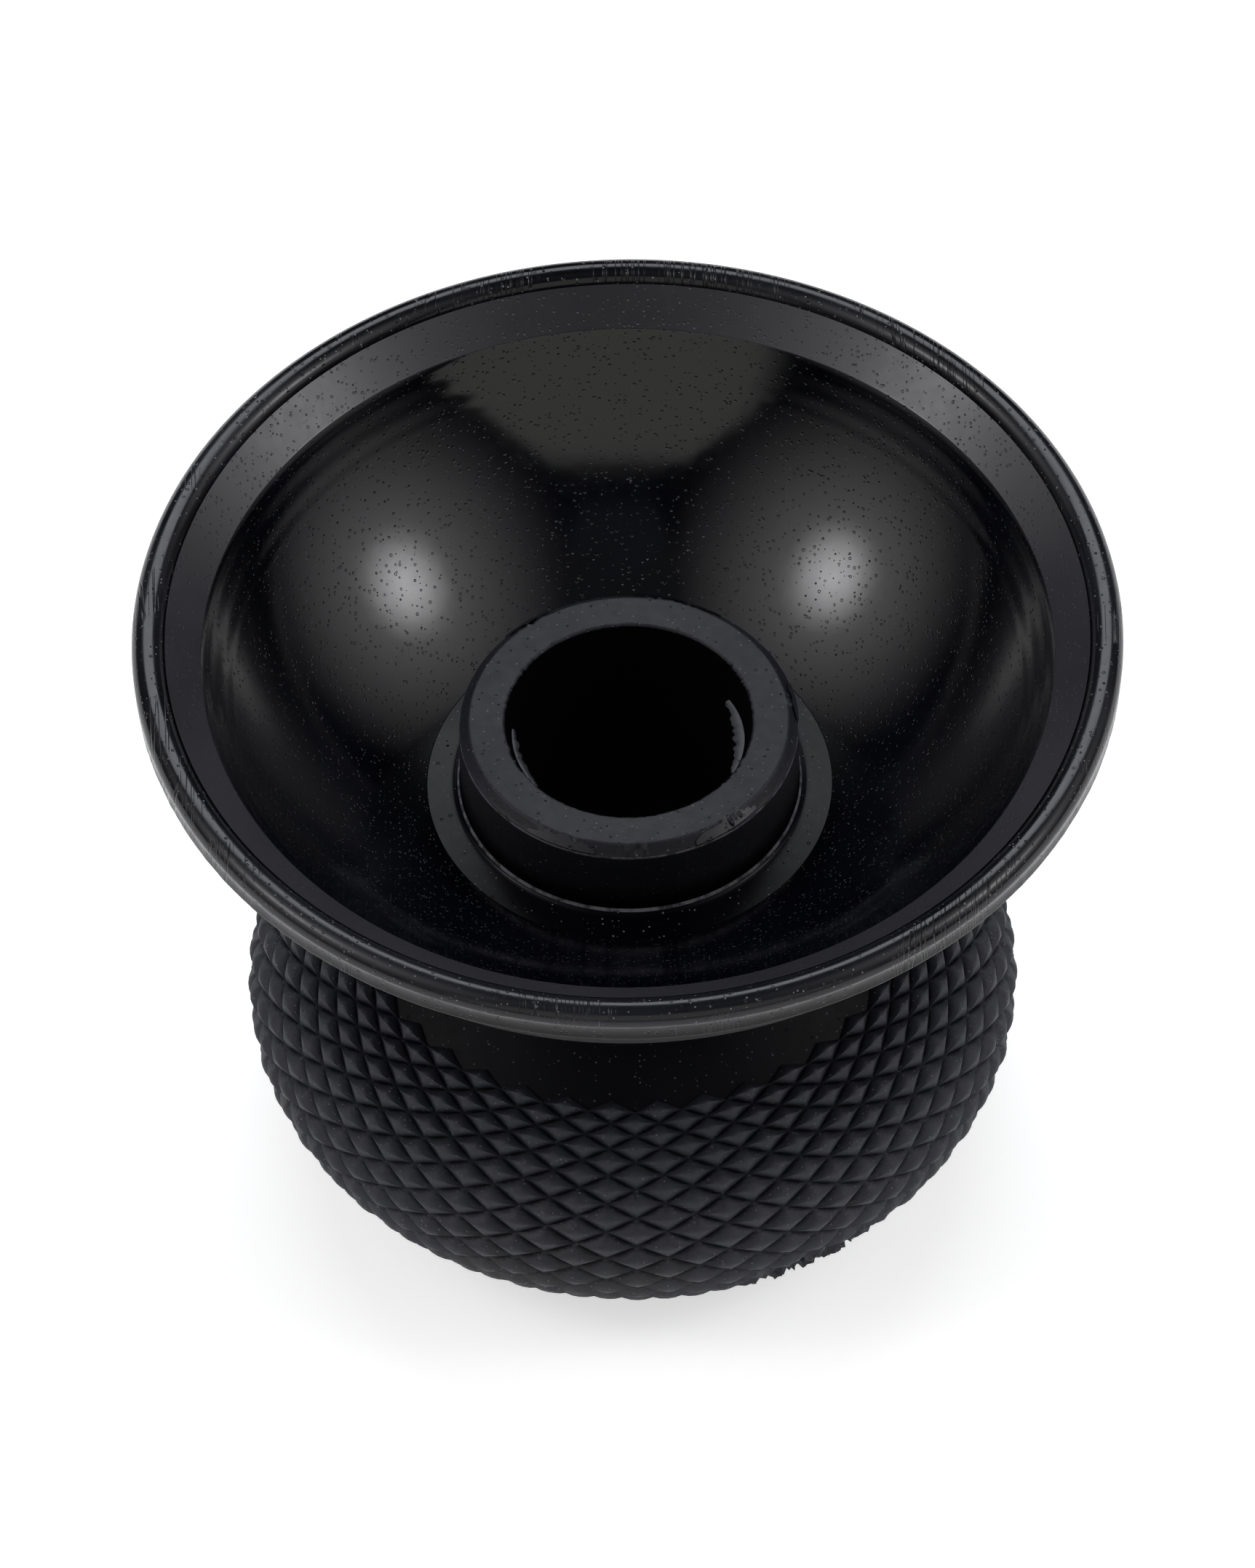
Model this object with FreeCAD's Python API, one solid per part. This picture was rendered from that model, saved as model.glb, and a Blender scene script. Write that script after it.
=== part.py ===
"""A knurled funnel bowl with a central socket, in millimetres.

Z is up and is the axis of symmetry. The origin is the centre of the base, on the surface
that the foot ring stands on. A glossy dish with a rounded rim surrounds a bored sleeve,
over a smooth waist and a flattened ball with a diamond knurl. The sleeve runs through the
whole object, and a ring nut on its lower end clamps the pieces together.
"""
import FreeCAD, Part

import math
import os

# Rim and dish
RIM_RADIUS = 44.0
RIM_HEIGHT = 60.0              # of the circle through the middle of the bead
BEAD_RADIUS = 1.45
RIM_SKIRT = 2.0                # straight outer face below the bead's middle
LIP_EDGE = (41.05, 60.57)      # radius and height where the lip meets the bead
CREASE_RADIUS = 37.8           # sharp ring between the lip and the bowl
BOWL_RADIUS = 44.0             # the bowl is part of a sphere
BOWL_CENTRE_HEIGHT = 80.55
LINER_THICKNESS = 1.8
WALL_THICKNESS = 4.5           # liner and outer bell together

# Waist and shoulder of the outer bell
NECK_RADIUS = 16.5
WAIST_RADIUS = 4.6             # of the hollow between the bell and the knob
SHOULDER_SLOPE = 28.0          # degrees below the horizontal
SHOULDER_EDGE_RADIUS = 27.2

# Central sleeve
BORE_RADIUS = 11.0
SLEEVE_RADIUS = 13.0           # below the dish
BOSS_RADIUS = 15.1             # inside the dish
BOSS_TOP = 49.2
BOSS_FOOT = 40.0
BOSS_BEVEL = 0.9
BORE_BEVEL = 0.25
SLEEVE_BOTTOM = 1.6

# Ring round the foot of the boss
SEAT_RING_RADIUS = 18.0
SEAT_RING_BOTTOM = 39.0
SEAT_RING_RISE = 0.5           # of its hollow top towards the boss

# Knob: a flattened ball, measured over the tips of its diamonds
KNOB_RADIUS = 34.45
KNOB_HALF_HEIGHT = 18.1
KNOB_CENTRE_HEIGHT = 13.4
GROOVE_DEPTH = 0.9
GRIP_THICKNESS = 2.4           # from the core to the tips
GRIP_TOP_RADIUS = 24.2         # where the upper tips of the scalloped lip lie
GRIP_BOTTOM = 2.2
DIAMONDS_ROUND = 38
DIAMOND_SLOPE = 0.532          # height of a diamond divided by its width

# Core, clamping parts and base
CORE_TOP = 21.5
NUT_RECESS_RADIUS = 19.2
NUT_RECESS_TOP = 12.4
WASHER_RADIUS = 18.6
WASHER_THICKNESS = 1.4
NUT_ACROSS_FLATS = 32.0
NUT_HEIGHT = 6.0
CAP_TOP = 4.4
CAP_BOTTOM = 0.9
CAP_FLANGE_RADIUS = 25.4
CAP_ROUNDING = 0.7
FOOT_INNER_RADIUS = 15.6
FOOT_OUTER_RADIUS = 21.4
FOOT_GROOVE_TOP = 2.0
FOOT_ROUNDING = 0.5

FIT_GAP = 0.05                 # between the faces of neighbouring pieces

AXIS_FOOT = FreeCAD.Vector(0, 0, 0)
AXIS = FreeCAD.Vector(0, 0, 1)


def at(radius, height):
    """A point of a half section, by its distance from the axis and its height."""
    return FreeCAD.Vector(radius, 0, height)


def turned(start, *steps):
    """A solid of revolution. Each step is the end of a straight line, or a pair (through, end) for an arc."""
    edges = []
    here = start
    for step in steps + (start,):
        if isinstance(step, tuple):
            through, end = step
            edges.append(Part.Arc(here, through, end).toShape())
        else:
            end = step
            if here.distanceToPoint(end) < 1e-6:
                continue
            edges.append(Part.LineSegment(here, end).toShape())
        here = end
    face = Part.Face(Part.Wire(edges))
    return face.revolve(AXIS_FOOT, AXIS, 360)


def on_sphere(sphere_radius, radius):
    """The point at that distance from the axis on a sphere round the bowl's centre."""
    drop = math.sqrt(sphere_radius ** 2 - radius ** 2)
    return at(radius, BOWL_CENTRE_HEIGHT - drop)


def sphere_arc(sphere_radius, from_radius, to_radius):
    """The step of an arc on such a sphere."""
    middle = on_sphere(sphere_radius, (from_radius + to_radius) / 2)
    return middle, on_sphere(sphere_radius, to_radius)


def knob_radius(height, inset=0.0):
    """Radius of the flattened ball at a height, drawn in by inset."""
    share = (height - KNOB_CENTRE_HEIGHT) / (KNOB_HALF_HEIGHT - inset)
    return (KNOB_RADIUS - inset) * math.sqrt(1 - share ** 2)


def knob_points(low, high, inset, count=24):
    """Points up the side of the flattened ball, from one height to another."""
    points = []
    for step in range(count + 1):
        height = low + (high - low) * step / count
        points.append(at(knob_radius(height, inset), height))
    return points


def lip_underside(depth):
    """Crease and outer edge of the lip's underside, at a depth below its face."""
    crease = on_sphere(BOWL_RADIUS, CREASE_RADIUS)
    along = (at(*LIP_EDGE) - crease).normalize()
    below = FreeCAD.Vector(along.z, 0, -along.x)
    base = crease + below * depth
    sphere = BOWL_RADIUS + depth
    # where the offset lip line leaves the offset sphere
    offset = base - at(0, BOWL_CENTRE_HEIGHT)
    half = offset.dot(along)
    travel = -half + math.sqrt(half ** 2 - offset.dot(offset) + sphere ** 2)
    edge_travel = (LIP_EDGE[0] - base.x) / along.x
    return base + along * travel, base + along * edge_travel


def make_dish_liner():
    """The glossy dish: bowl, crease and sloping lip, open in the middle for the seat ring."""
    hole = SEAT_RING_RADIUS + FIT_GAP
    under = BOWL_RADIUS + LINER_THICKNESS
    low_crease, low_edge = lip_underside(LINER_THICKNESS)
    return turned(
        on_sphere(BOWL_RADIUS, hole),
        sphere_arc(BOWL_RADIUS, hole, CREASE_RADIUS),
        at(*LIP_EDGE),
        low_edge,
        low_crease,
        sphere_arc(under, low_crease.x, hole),
    )


def make_rim_bead():
    """The rounded edge ring, with a short skirt that hides the edges of the liner and the bell."""
    middle = RIM_RADIUS - BEAD_RADIUS
    top = at(middle, RIM_HEIGHT + BEAD_RADIUS)
    bottom = RIM_HEIGHT - RIM_SKIRT
    corner = 0.35
    inner = LIP_EDGE[0] + FIT_GAP
    return turned(
        at(inner, LIP_EDGE[1]),
        (at(middle - BEAD_RADIUS * 0.62, RIM_HEIGHT + BEAD_RADIUS * 0.785), top),
        (at(middle + BEAD_RADIUS * 0.7071, RIM_HEIGHT + BEAD_RADIUS * 0.7071), at(RIM_RADIUS, RIM_HEIGHT)),
        at(RIM_RADIUS, bottom + corner),
        at(RIM_RADIUS - corner, bottom),
        at(inner, bottom),
    )


def bell_outside():
    """Waist centre and the ends of the waist arc, tangent to the bell above and the shoulder below."""
    outer = BOWL_RADIUS + WALL_THICKNESS
    centre_radius = NECK_RADIUS + WAIST_RADIUS
    drop = math.sqrt((outer + WAIST_RADIUS) ** 2 - centre_radius ** 2)
    centre = at(centre_radius, BOWL_CENTRE_HEIGHT - drop)
    upper = on_sphere(outer, centre_radius * outer / (outer + WAIST_RADIUS))
    slope = math.radians(SHOULDER_SLOPE)
    lower = centre - at(math.sin(slope), math.cos(slope)) * WAIST_RADIUS
    return centre, upper, lower


def make_outer_bell(bored=True):
    """The outer wall of the funnel with its waist and the shoulder that the grip laps over."""
    outer = BOWL_RADIUS + WALL_THICKNESS
    inside = BOWL_RADIUS + LINER_THICKNESS + FIT_GAP
    hole = SLEEVE_RADIUS + FIT_GAP if bored else 0
    centre, upper, lower = bell_outside()
    low_crease, low_edge = lip_underside(LINER_THICKNESS + FIT_GAP)
    edge_radius = LIP_EDGE[0]
    rim_foot = RIM_HEIGHT - RIM_SKIRT - FIT_GAP
    foot_radius = math.sqrt(outer ** 2 - (BOWL_CENTRE_HEIGHT - rim_foot) ** 2)
    shoulder_drop = (SHOULDER_EDGE_RADIUS - lower.x) * math.tan(math.radians(SHOULDER_SLOPE))
    seat = SEAT_RING_BOTTOM - FIT_GAP
    return turned(
        at(hole, CORE_TOP + FIT_GAP),
        at(hole, seat),
        at(SEAT_RING_RADIUS, seat),
        on_sphere(inside, SEAT_RING_RADIUS),
        sphere_arc(inside, SEAT_RING_RADIUS, low_crease.x),
        at(edge_radius, rim_foot),
        at(foot_radius, rim_foot),
        sphere_arc(outer, foot_radius, upper.x),
        (at(NECK_RADIUS, centre.z), lower),
        at(SHOULDER_EDGE_RADIUS, lower.z - shoulder_drop),
        at(SHOULDER_EDGE_RADIUS, CORE_TOP + FIT_GAP),
    )


def make_seat_ring():
    """The ring under the sleeve's shoulder; its top is hollow and rises to the boss."""
    inner = SLEEVE_RADIUS + FIT_GAP
    foot = BOSS_RADIUS + FIT_GAP
    edge = on_sphere(BOWL_RADIUS, SEAT_RING_RADIUS).z
    lift = edge + SEAT_RING_RISE
    return turned(
        at(inner, SEAT_RING_BOTTOM),
        at(SEAT_RING_RADIUS, SEAT_RING_BOTTOM),
        at(SEAT_RING_RADIUS, edge),
        (at((foot + SEAT_RING_RADIUS) / 2, edge + SEAT_RING_RISE * 0.15), at(foot, lift)),
        at(foot, BOSS_FOOT - FIT_GAP),
        at(inner, BOSS_FOOT - FIT_GAP),
    )


def make_socket_sleeve():
    """The bored sleeve: the boss in the dish, a shoulder, and the tube down to the base."""
    return turned(
        at(BORE_RADIUS, SLEEVE_BOTTOM),
        at(BORE_RADIUS, BOSS_TOP - BORE_BEVEL),
        at(BORE_RADIUS + BORE_BEVEL, BOSS_TOP),
        at(BOSS_RADIUS - BOSS_BEVEL, BOSS_TOP),
        at(BOSS_RADIUS, BOSS_TOP - BOSS_BEVEL),
        at(BOSS_RADIUS, BOSS_FOOT),
        at(SLEEVE_RADIUS, BOSS_FOOT),
        at(SLEEVE_RADIUS, SLEEVE_BOTTOM),
    )


def make_knob_core(solid=False):
    """The inner body of the ball, with a bore for the sleeve and a recess for the nut from below."""
    inset = GRIP_THICKNESS + (0 if solid else FIT_GAP)
    side = knob_points(GRIP_BOTTOM if solid else CAP_TOP + FIT_GAP, CORE_TOP, inset)
    if solid:
        return turned(at(0, 0), at(side[0].x, 0), *side, at(0, CORE_TOP))
    bottom = CAP_TOP + FIT_GAP
    hole = SLEEVE_RADIUS + FIT_GAP
    return turned(
        at(NUT_RECESS_RADIUS, bottom),
        *side,
        at(hole, CORE_TOP),
        at(hole, NUT_RECESS_TOP),
        at(NUT_RECESS_RADIUS, NUT_RECESS_TOP),
    )


def lattice_angles():
    """Angles up the ball's side of the knurl's rows of corners, from the scalloped lip down."""
    inset_radius = KNOB_RADIUS - GROOVE_DEPTH
    inset_height = KNOB_HALF_HEIGHT - GROOVE_DEPTH
    first = math.acos(GRIP_TOP_RADIUS / inset_radius)
    last = math.asin((GRIP_BOTTOM - KNOB_CENTRE_HEIGHT) / inset_height)
    angles = [first]
    while angles[-1] > last:
        angle = angles[-1]
        width = 2 * math.pi * inset_radius * math.cos(angle) / DIAMONDS_ROUND
        rate = math.hypot(inset_radius * math.sin(angle), inset_height * math.cos(angle))
        angles.append(angle - width * DIAMOND_SLOPE / 2 / rate)
    stretch = (last - first) / (angles[-1] - first)
    return [first + (angle - first) * stretch for angle in angles]


def lattice_point(angle, turn, lift):
    """A point of the knurl, lifted square to the ball's side from the bottom of the grooves."""
    inset_radius = KNOB_RADIUS - GROOVE_DEPTH
    inset_height = KNOB_HALF_HEIGHT - GROOVE_DEPTH
    out = math.cos(angle) * inset_height
    up = math.sin(angle) * inset_radius
    size = math.hypot(out, up)
    radius = inset_radius * math.cos(angle) + lift * out / size
    height = KNOB_CENTRE_HEIGHT + inset_height * math.sin(angle) + lift * up / size
    bearing = 2 * math.pi * turn / DIAMONDS_ROUND
    return FreeCAD.Vector(radius * math.cos(bearing), radius * math.sin(bearing), height)


def make_knurled_ball():
    """A closed solid bounded by the knurl's diamonds, each a low pyramid between four corners."""
    angles = lattice_angles()
    last = len(angles) - 1
    faces = []

    def corner(row, column):
        return lattice_point(angles[row], column + 0.5 * (row % 2), 0)

    def add(*points):
        faces.append(Part.Face(Part.makePolygon(list(points) + [points[0]])))

    hub = at(0, CORE_TOP / 2)
    rim = []
    for column in range(DIAMONDS_ROUND):
        for row in range(1, last + 1):
            side = row % 2
            left, right = corner(row, column), corner(row, column + 1)
            above = corner(row - 1, column + side)
            turn = column + 0.5 * side + 0.5
            peak = lattice_point(angles[row], turn, GROOVE_DEPTH)
            if row < last:
                below = corner(row + 1, column + side)
                add(left, peak, below)
                add(below, peak, right)
            else:
                peak = FreeCAD.Vector(peak.x, peak.y, GRIP_BOTTOM)
                rim += [left, peak]
            add(left, above, peak)
            add(above, right, peak)
        add(corner(0, column), corner(1, column), hub)
        add(corner(1, column), corner(0, column + 1), hub)
    faces.append(Part.Face(Part.makePolygon(rim + [rim[0]])))
    return Part.makeSolid(Part.makeShell(faces))


def make_knurled_grip():
    """The grip skin: the knurled ball without what the core and the bell's shoulder fill."""
    ball = make_knurled_ball()
    core = make_knob_core(solid=True)
    bell = make_outer_bell(bored=False)
    return ball.cut(core).cut(bell)


def make_clamp_washer():
    """The flat washer under the core."""
    top = NUT_RECESS_TOP - FIT_GAP
    inner = SLEEVE_RADIUS + FIT_GAP
    low = top - WASHER_THICKNESS
    return turned(at(inner, low), at(WASHER_RADIUS, low), at(WASHER_RADIUS, top), at(inner, top))


def make_clamp_nut():
    """The hexagon ring nut on the sleeve's lower end."""
    top = NUT_RECESS_TOP - WASHER_THICKNESS - 2 * FIT_GAP
    corners = []
    for side in range(7):
        angle = math.radians(60 * side)
        reach = NUT_ACROSS_FLATS / math.sqrt(3)
        corners.append(FreeCAD.Vector(reach * math.cos(angle), reach * math.sin(angle), top - NUT_HEIGHT))
    block = Part.Face(Part.makePolygon(corners)).extrude(AXIS * NUT_HEIGHT)
    hole = Part.makeCylinder(SLEEVE_RADIUS + FIT_GAP, NUT_HEIGHT, at(0, top - NUT_HEIGHT))
    bevelled = turned(
        at(0, top - NUT_HEIGHT),
        at(NUT_ACROSS_FLATS / 2, top - NUT_HEIGHT),
        at(NUT_ACROSS_FLATS * 0.6, top - NUT_HEIGHT + NUT_ACROSS_FLATS * 0.06),
        at(NUT_ACROSS_FLATS * 0.6, top),
        at(0, top),
    )
    return block.common(bevelled).cut(hole)


def make_base_cap():
    """The cap that closes the nut's recess; its flange carries the grip's lower edge."""
    hole = SLEEVE_RADIUS + FIT_GAP
    side = knob_points(GRIP_BOTTOM, CAP_TOP, GRIP_THICKNESS + FIT_GAP, 6)
    flange_top = GRIP_BOTTOM - FIT_GAP
    return turned(
        at(hole, CAP_BOTTOM),
        at(FOOT_INNER_RADIUS - FIT_GAP, CAP_BOTTOM),
        at(FOOT_INNER_RADIUS - FIT_GAP, FOOT_GROOVE_TOP),
        at(FOOT_OUTER_RADIUS + FIT_GAP, FOOT_GROOVE_TOP),
        at(FOOT_OUTER_RADIUS + FIT_GAP, CAP_BOTTOM),
        at(CAP_FLANGE_RADIUS - CAP_ROUNDING, CAP_BOTTOM),
        at(CAP_FLANGE_RADIUS, CAP_BOTTOM + CAP_ROUNDING),
        at(CAP_FLANGE_RADIUS, flange_top),
        at(side[0].x, flange_top),
        *side,
        at(hole, CAP_TOP),
    )


def make_foot_ring():
    """The soft ring in the cap's groove that the object stands on."""
    top = FOOT_GROOVE_TOP - FIT_GAP
    return turned(
        at(FOOT_INNER_RADIUS, top),
        at(FOOT_INNER_RADIUS, FOOT_ROUNDING),
        at(FOOT_INNER_RADIUS + FOOT_ROUNDING, 0),
        at(FOOT_OUTER_RADIUS - FOOT_ROUNDING, 0),
        at(FOOT_OUTER_RADIUS, FOOT_ROUNDING),
        at(FOOT_OUTER_RADIUS, top),
    )


PIECES = {
    "rim_bead": make_rim_bead,
    "dish_liner": make_dish_liner,
    "outer_bell": make_outer_bell,
    "seat_ring": make_seat_ring,
    "socket_sleeve": make_socket_sleeve,
    "knurled_grip": make_knurled_grip,
    "knob_core": make_knob_core,
    "clamp_washer": make_clamp_washer,
    "clamp_nut": make_clamp_nut,
    "base_cap": make_base_cap,
    "foot_ring": make_foot_ring,
}

os.makedirs("parts", exist_ok=True)
for name, make in PIECES.items():
    piece = make()
    piece.exportStep(f"parts/{name}.step")
    print(f"{name}: valid {piece.isValid()}, solids {len(piece.Solids)}, volume {piece.Volume:.0f} mm3")
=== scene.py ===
import math
import random

import bmesh
import bpy
import numpy as np
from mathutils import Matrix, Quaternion, Vector


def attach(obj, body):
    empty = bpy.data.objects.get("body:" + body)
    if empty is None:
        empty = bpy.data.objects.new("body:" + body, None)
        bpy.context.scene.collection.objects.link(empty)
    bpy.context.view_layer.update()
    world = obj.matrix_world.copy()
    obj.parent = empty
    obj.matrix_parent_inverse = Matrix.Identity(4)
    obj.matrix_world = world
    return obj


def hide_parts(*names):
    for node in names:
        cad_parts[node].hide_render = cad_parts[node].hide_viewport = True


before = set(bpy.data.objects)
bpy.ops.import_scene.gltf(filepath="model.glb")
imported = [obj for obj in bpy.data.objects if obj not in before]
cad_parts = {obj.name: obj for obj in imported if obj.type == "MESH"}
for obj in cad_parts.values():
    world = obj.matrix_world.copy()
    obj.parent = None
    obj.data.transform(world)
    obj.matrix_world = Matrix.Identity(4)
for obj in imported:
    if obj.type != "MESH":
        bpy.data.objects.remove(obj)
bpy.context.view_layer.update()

MM = 0.001
BODY = "root"
SEED = 7


# --- Sizes, in millimetres ----------------------------------------------------------------

RIM_RADIUS = 44.0
RIM_HEIGHT = 60.0
BEAD_RADIUS = 1.45
RIM_SKIRT = 2.0
LIP_RADIUS = 41.05
LIP_HEIGHT = 60.57
CREASE_RADIUS = 37.8
BOWL_RADIUS = 44.0
BOWL_CENTRE = 80.55
LINER = 1.8
WALL = 4.5

NECK_RADIUS = 16.5
WAIST_RADIUS = 4.6
SHOULDER_SLOPE = math.radians(28.0)
SHOULDER_EDGE = 27.2
SHOULDER_FOOT = 21.6

BORE_RADIUS = 11.0
SLEEVE_RADIUS = 13.0
BOSS_RADIUS = 15.1
BOSS_TOP = 49.2
BOSS_FOOT = 40.0
SLEEVE_BOTTOM = 1.6

SEAT_RADIUS = 18.0
SEAT_BOTTOM = 39.0

KNOB_RADIUS = 34.45
KNOB_HALF_HEIGHT = 18.1
KNOB_CENTRE = 13.4
GROOVE_DEPTH = 0.9
GRIP_TOP_RADIUS = 24.2
GRIP_BOTTOM = 2.2
DIAMONDS_ROUND = 38
DIAMOND_SLOPE = 0.532

FOOT_INNER = 15.6
FOOT_OUTER = 21.4
FOOT_TOP = 1.95

SEAM = 0.05                    # gap between neighbouring pieces
GRIP_SKIN = 0.8
FLASH_THICKNESS = 0.14
BEVEL_LINE = (48.12, 48.30)    # heights of the painted highlight line on the boss's bevel
FOOT_LINE = (15.15, 15.30)     # radii of the painted highlight line round the boss's foot


# --- Outlines -----------------------------------------------------------------------------

def arc(centre, radius, start, end, count):
    """Points on an arc in the half section, angles in degrees from the outward direction."""
    points = []
    for step in range(count + 1):
        angle = math.radians(start + (end - start) * step / count)
        points.append((centre[0] + radius * math.cos(angle), centre[1] + radius * math.sin(angle)))
    return points


def line(start, end, count):
    """Evenly spaced points from start up to, and without, end."""
    points = []
    for step in range(count):
        share = step / count
        points.append((start[0] + (end[0] - start[0]) * share, start[1] + (end[1] - start[1]) * share))
    return points


def bowl_arc(radius, start, end, count):
    """Points on a sphere round the bowl's centre, between two distances from the axis."""
    first, last = math.asin(start / radius), math.asin(end / radius)
    points = []
    for step in range(count + 1):
        angle = first + (last - first) * step / count
        points.append((radius * math.sin(angle), BOWL_CENTRE - radius * math.cos(angle)))
    return points


def rounded(corners, radius, count=4):
    """A closed outline with each corner turned into a small arc."""
    points = []
    total = len(corners)
    for index in range(total):
        here = Vector(corners[index])
        before = Vector(corners[index - 1]) - here
        after = Vector(corners[(index + 1) % total]) - here
        cut = min(radius, before.length * 0.45, after.length * 0.45)
        start = here + before.normalized() * cut
        end = here + after.normalized() * cut
        for step in range(count + 1):
            t = step / count
            points.append(tuple(start * (1 - t) ** 2 + here * 2 * t * (1 - t) + end * t * t))
    return points


# --- Meshes -------------------------------------------------------------------------------

def finish_mesh(name, mesh, sharp_degrees=32.0):
    """Links a mesh as a smooth-shaded object on the part's body, with its hard edges kept."""
    mesh.polygons.foreach_set("use_smooth", [True] * len(mesh.polygons))
    mesh.set_sharp_from_angle(angle=math.radians(sharp_degrees))
    mesh.update()
    piece = bpy.data.objects.new(name, mesh)
    bpy.context.scene.collection.objects.link(piece)
    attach(piece, BODY)
    return piece


def turn(name, outline, segments=384, shape=None, sharp_degrees=32.0):
    """A closed ring turned round the axis; shape(radius, height, bearing) may move its points."""
    section = np.array(outline)
    bearing = np.arange(segments) * 2 * math.pi / segments
    radius = np.repeat(section[None, :, 0], segments, axis=0)
    height = np.repeat(section[None, :, 1], segments, axis=0)
    around = np.repeat(bearing[:, None], len(section), axis=1)
    if shape:
        radius, height = shape(radius, height, around)
    points = np.stack([radius * np.cos(around), radius * np.sin(around), height], axis=2) * MM
    count = len(section)
    faces = []
    for ring in range(segments):
        following = (ring + 1) % segments
        for point in range(count):
            other = (point + 1) % count
            faces.append((ring * count + point, following * count + point,
                          following * count + other, ring * count + other))
    mesh = bpy.data.meshes.new(name)
    mesh.from_pydata(points.reshape(-1, 3).tolist(), [], faces)
    fix_normals(mesh)
    return finish_mesh(name, mesh, sharp_degrees)


def fix_normals(mesh):
    """Turns every face of a closed mesh outwards."""
    work = bmesh.new()
    work.from_mesh(mesh)
    bmesh.ops.recalc_face_normals(work, faces=work.faces)
    work.to_mesh(mesh)
    work.free()


def waves(bearing, seed, terms):
    """A repeatable uneven function round the axis, from -1 to 1."""
    maker = random.Random(seed)
    total = np.zeros_like(bearing)
    weight = 0.0
    for _ in range(terms):
        rate = maker.randint(5, 90)
        size = 1.0 / (1.0 + rate * 0.02)
        total += size * np.sin(rate * bearing + maker.uniform(0, 2 * math.pi))
        weight += size
    return np.clip(total / weight * 2.2, -1, 1)


def window(bearing, centre_degrees, half_degrees):
    """1 round a bearing, falling smoothly to 0 at half_degrees away."""
    away = np.abs((bearing - math.radians(centre_degrees) + math.pi) % (2 * math.pi) - math.pi)
    share = np.clip(1 - away / math.radians(half_degrees), 0, 1)
    return share * share * (3 - 2 * share)


# --- Materials ----------------------------------------------------------------------------

def node(tree, kind, values=None, **settings):
    """A new shader node, with its inputs and settings."""
    made = tree.nodes.new(kind)
    for key, value in settings.items():
        setattr(made, key, value)
    for key, value in (values or {}).items():
        made.inputs[key].default_value = value
    return made


def noise_value(tree, where, scale, detail=3.0, roughness=0.55):
    """Uneven noise, about 0.3 to 0.7, with scale cells in a metre."""
    made = node(tree, "ShaderNodeTexNoise", {"Scale": scale, "Detail": detail, "Roughness": roughness})
    tree.links.new(where, made.inputs["Vector"])
    return made.outputs["Fac"]


def remap(tree, value, from_low, from_high, to_low, to_high):
    """The value carried smoothly from one range into another, and held at its ends."""
    made = node(tree, "ShaderNodeMapRange", {
        "From Min": from_low, "From Max": from_high, "To Min": to_low, "To Max": to_high})
    made.interpolation_type = "SMOOTHSTEP"
    tree.links.new(value, made.inputs["Value"])
    return made.outputs["Result"]


def maths(tree, operation, first, second=0.0):
    """One sum on two numbers or sockets."""
    made = node(tree, "ShaderNodeMath", operation=operation)
    for index, value in enumerate((first, second)):
        if isinstance(value, (int, float)):
            made.inputs[index].default_value = value
        else:
            tree.links.new(value, made.inputs[index])
    return made.outputs["Value"]


def pits(tree, where, cell, size, share):
    """1 inside small round pits, one in some of the cells of that width in metres, 0 outside."""
    cells = node(tree, "ShaderNodeTexVoronoi", {"Scale": 1.0 / cell, "Randomness": 1.0})
    tree.links.new(where, cells.inputs["Vector"])
    split = node(tree, "ShaderNodeSeparateColor")
    tree.links.new(cells.outputs["Color"], split.inputs["Color"])
    chosen = maths(tree, "LESS_THAN", split.outputs["Red"], share)
    reach = remap(tree, split.outputs["Green"], 0.0, 1.0, size * 0.45, size)
    near = maths(tree, "DIVIDE", cells.outputs["Distance"], reach)
    inside = remap(tree, near, 0.55, 1.0, 1.0, 0.0)
    return maths(tree, "MULTIPLY", inside, chosen)


def parts_of(tree, where):
    """The X, Y and Z outputs of a vector."""
    split = node(tree, "ShaderNodeSeparateXYZ")
    tree.links.new(where, split.inputs["Vector"])
    return split.outputs


def axis_distance(tree, where):
    """Distance from the axis, in metres."""
    parts = parts_of(tree, where)
    square = [maths(tree, "MULTIPLY", parts[axis], parts[axis]) for axis in ("X", "Y")]
    return maths(tree, "SQRT", maths(tree, "ADD", *square))


def blend(tree, below, tint, share):
    """A colour socket covered with a plain tint as far as share says."""
    mix = node(tree, "ShaderNodeMix", data_type="RGBA")
    mix.inputs["B"].default_value = (*tint, 1)
    tree.links.new(below, mix.inputs["A"])
    tree.links.new(share, mix.inputs["Factor"])
    return mix.outputs["Result"]


def painted_highlight_band(tree, value, low, high, soft, patches):
    """The mask of a painted highlight: near 1 where value is from low to high, with uneven patches, and 0
    beyond soft outside them.
    """
    rising = remap(tree, value, low - soft, low, 0.0, 1.0)
    falling = remap(tree, value, high, high + soft, 1.0, 0.0)
    uneven = remap(tree, patches, 0.35, 0.60, 0.25, 1.0)
    return maths(tree, "MULTIPLY", maths(tree, "MULTIPLY", rising, falling), uneven)


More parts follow.
